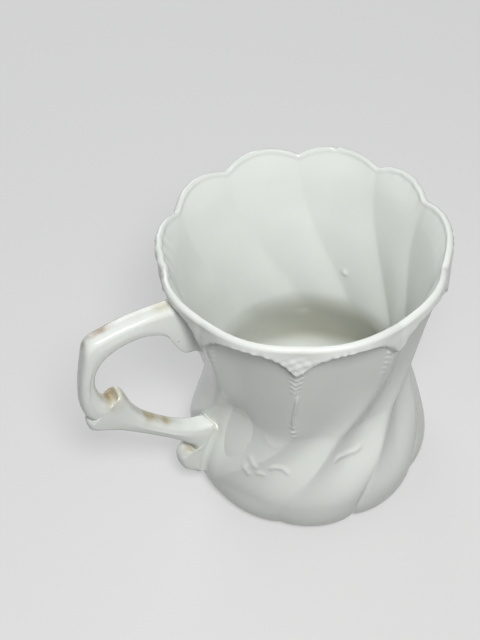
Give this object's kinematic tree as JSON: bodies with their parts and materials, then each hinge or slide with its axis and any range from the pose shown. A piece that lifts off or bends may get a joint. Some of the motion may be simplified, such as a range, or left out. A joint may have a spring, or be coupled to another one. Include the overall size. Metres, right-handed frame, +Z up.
{
  "type": "porcelain cup with scroll handle",
  "caption": "White glazed porcelain moustache cup: turned flutes, scalloped rim with a raised border, scroll handle and bare foot ring.",
  "frame": {"origin": "centre of the ring-shaped face that the foot stands on, on the cup's axis", "axes": "+Z up along the cup's axis; the handle points to -X; +Y completes a right-handed frame"},
  "size_m": [0.1204, 0.0907, 0.0975],
  "materials": {
    "porcelain": "gloss glaze, white with a faint green tint",
    "biscuit": "bare, unglazed and matt"
  },
  "bodies": {
    "root": {"cup_body": "porcelain", "foot_ring": "biscuit", "handle": "porcelain", "handle_upper_joint": "porcelain", "handle_lower_joint": "porcelain"}
  },
  "joints": []
}
